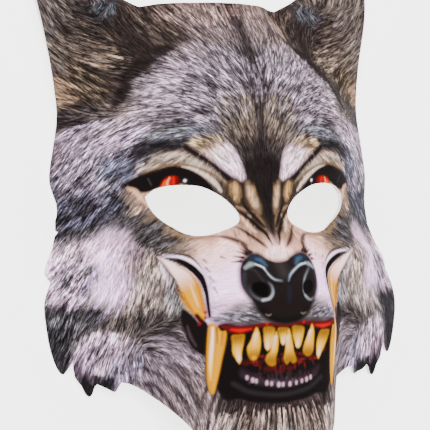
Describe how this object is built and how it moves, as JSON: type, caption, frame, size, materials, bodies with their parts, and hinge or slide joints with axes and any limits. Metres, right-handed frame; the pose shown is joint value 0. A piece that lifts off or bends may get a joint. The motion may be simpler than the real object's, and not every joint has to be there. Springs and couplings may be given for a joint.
{
  "type": "moulded wolf face mask",
  "caption": "Moulded face shell of a snarling wolf with upright ears, tufted cheeks and cut eye holes, printed cloth on thin foam.",
  "frame": {"origin": "middle of the mask's length and width, in the plane of the rim that it lies on", "axes": "+Y from the chin to the ears, +Z out of the front of the face, +X to the right as seen from the front"},
  "size_m": [0.206, 0.284, 0.0632],
  "materials": {
    "printed_cloth": "printed fur and face on smooth cloth, plain light back"
  },
  "bodies": {
    "root": {"mask_shell": "printed_cloth"}
  },
  "joints": []
}
